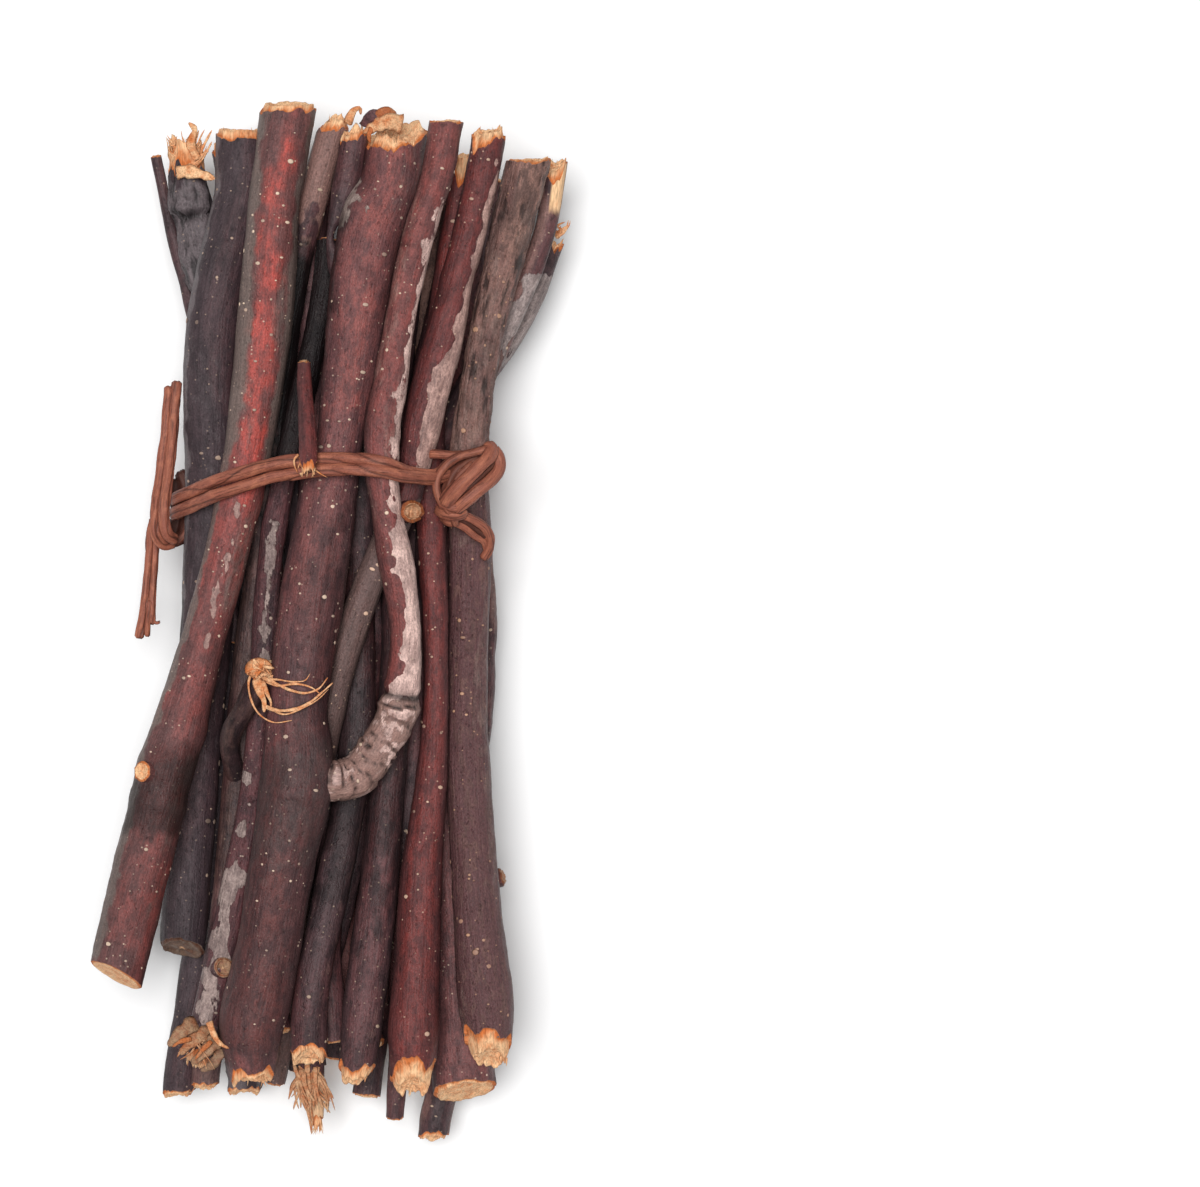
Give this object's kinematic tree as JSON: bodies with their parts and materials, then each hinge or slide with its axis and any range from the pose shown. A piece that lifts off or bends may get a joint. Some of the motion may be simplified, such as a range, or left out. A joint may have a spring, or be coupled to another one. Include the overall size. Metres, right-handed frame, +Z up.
{
  "type": "bundle of twigs",
  "caption": "Loose bundle of cut fruitwood twigs, lying flat, tied round the waist with doubled brown paper twine; one twig forks into a hooked branch.",
  "frame": {"origin": "on the surface that the bundle lies on, under the middle of its box", "axes": "+Y along the twigs towards their tips, which is the end nearer the tie; +X to the right as seen from above with the tips away from the viewer; +Z up"},
  "size_m": [0.0568, 0.125, 0.0327],
  "materials": {
    "bark_red": "smooth satin bark with pale pores, worn at the ends",
    "bark_maroon": "smooth satin bark with pale pores",
    "bark_dark": "dull dark bark with pale pores",
    "bark_grey": "dull flaking bark",
    "bark_rough": "dull cracked bark",
    "twine": "dull creased paper twine"
  },
  "bodies": {
    "root": {"back_twig_1": "bark_maroon", "back_twig_10": "bark_dark", "back_twig_2": "bark_red", "back_twig_3": "bark_dark", "back_twig_4": "bark_maroon", "back_twig_5": "bark_rough", "back_twig_6": "bark_dark", "back_twig_7": "bark_red", "back_twig_8": "bark_dark", "back_twig_9": "bark_maroon", "broom_twig": "bark_dark", "dark_left_twig": "bark_dark", "dusky_twig": "bark_dark", "gnarled_twig": "bark_dark", "grey_twig": "bark_grey", "hooked_branch": "bark_red", "hooked_stem": "bark_maroon", "hooked_stem_arm": "bark_maroon", "inner_twig": "bark_dark", "leaning_twig": "bark_red", "lower_left_twig": "bark_dark", "middle_twig": "bark_dark", "peeling_twig": "bark_red", "red_right_twig": "bark_red", "rough_twig": "bark_rough", "slim_twig": "bark_dark", "splayed_twig": "bark_dark", "split_twig": "bark_rough", "spur_twig": "bark_red", "stout_twig": "bark_maroon", "thin_left_twig": "bark_dark", "tie_band_lower": "twine", "tie_band_upper": "twine", "tie_knot": "twine", "tie_left_fold": "twine", "tie_right_loop": "twine", "tie_right_tail": "twine", "tie_tail_down": "twine"}
  },
  "joints": []
}
